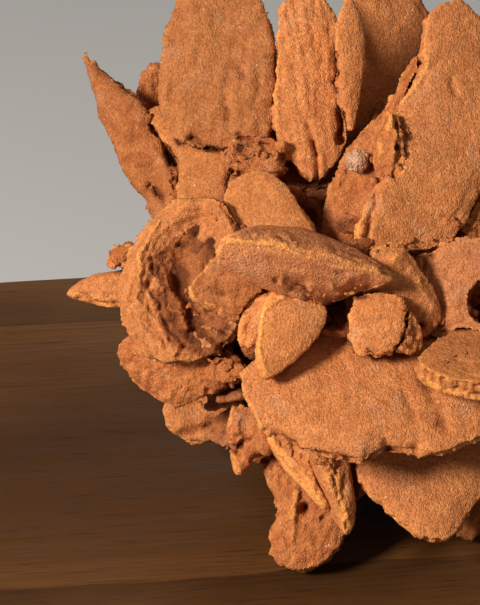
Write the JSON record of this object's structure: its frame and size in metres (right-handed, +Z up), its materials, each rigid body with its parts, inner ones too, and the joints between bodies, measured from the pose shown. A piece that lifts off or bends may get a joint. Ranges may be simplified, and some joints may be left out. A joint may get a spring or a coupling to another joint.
{
  "type": "desert rose on a wooden stand",
  "caption": "Cluster of sandy gypsum blades spreading like petals from a gritty matrix, resting on a plain rectangular wooden slab.",
  "frame": {"origin": "centre of the slab's underside", "axes": "+X along the slab's long side, +Z up out of the slab, the rose's display face towards -Y"},
  "size_m": [0.28, 0.236, 0.1433],
  "materials": {
    "sandy_crystal": "matte, sandy",
    "ochre_crystal": "matte, smooth sand",
    "rust_crystal": "matte, rough",
    "rose_crystal": "matte, dusty pink",
    "gritty_matrix": "matte, gritty",
    "pebble": "dull, water-worn",
    "oiled_wood": "aged, lightly oiled"
  },
  "bodies": {
    "root": {"front_lens_blade": "rose_crystal", "standing_plate": "ochre_crystal", "thin_strip_blade": "sandy_crystal", "rounded_crystal": "sandy_crystal", "inner_crescent_blade": "sandy_crystal", "wide_fan_plate": "sandy_crystal", "right_thick_blade": "ochre_crystal", "outer_crescent_blade": "sandy_crystal", "left_rosette_blade": "sandy_crystal", "shaded_plate": "rust_crystal", "upper_round_blade": "ochre_crystal", "ridge_blade": "rust_crystal", "great_upper_plate": "sandy_crystal", "left_fringe_blade": "rust_crystal", "left_point_blade": "sandy_crystal", "left_knob_crystal": "rust_crystal", "lower_right_plate": "sandy_crystal", "right_dagger_blade": "sandy_crystal", "left_dagger_blade": "ochre_crystal", "hanging_point_blade": "rust_crystal", "lower_left_plate": "rust_crystal", "right_pocket_plate": "rose_crystal", "right_knob_crystal": "rust_crystal", "pointed_tongue_blade": "sandy_crystal", "upper_column_blade": "sandy_crystal", "rough_ledge_crystal": "rust_crystal", "shoulder_plate": "ochre_crystal", "broad_upper_plate": "sandy_crystal", "upper_left_spear": "rust_crystal", "shadowed_back_plate": "rust_crystal", "small_back_blade": "rust_crystal", "far_left_plate": "sandy_crystal", "crevice_crystal": "rust_crystal", "crown_blade": "sandy_crystal", "crown_right_blade": "ochre_crystal", "back_upper_left_blade": "sandy_crystal", "back_upper_right_blade": "rose_crystal", "back_middle_blade": "sandy_crystal", "right_upper_blade": "sandy_crystal", "right_side_blade": "rose_crystal", "right_back_blade": "ochre_crystal", "left_back_blade": "sandy_crystal", "left_side_blade": "rust_crystal", "back_left_low_blade": "rose_crystal", "back_low_blade": "sandy_crystal", "right_low_blade": "sandy_crystal", "right_front_blade": "ochre_crystal", "left_flank_upper_blade": "rose_crystal", "left_flank_lower_blade": "sandy_crystal", "back_left_blade": "ochre_crystal", "right_inner_blade": "rust_crystal", "foot_left_front_blade": "sandy_crystal", "foot_front_blade": "rust_crystal", "foot_left_blade": "rust_crystal", "foot_right_blade": "sandy_crystal", "foot_back_blade": "rust_crystal", "gritty_matrix": "gritty_matrix", "caught_pebble": "pebble", "wooden_slab": "oiled_wood"}
  },
  "joints": []
}
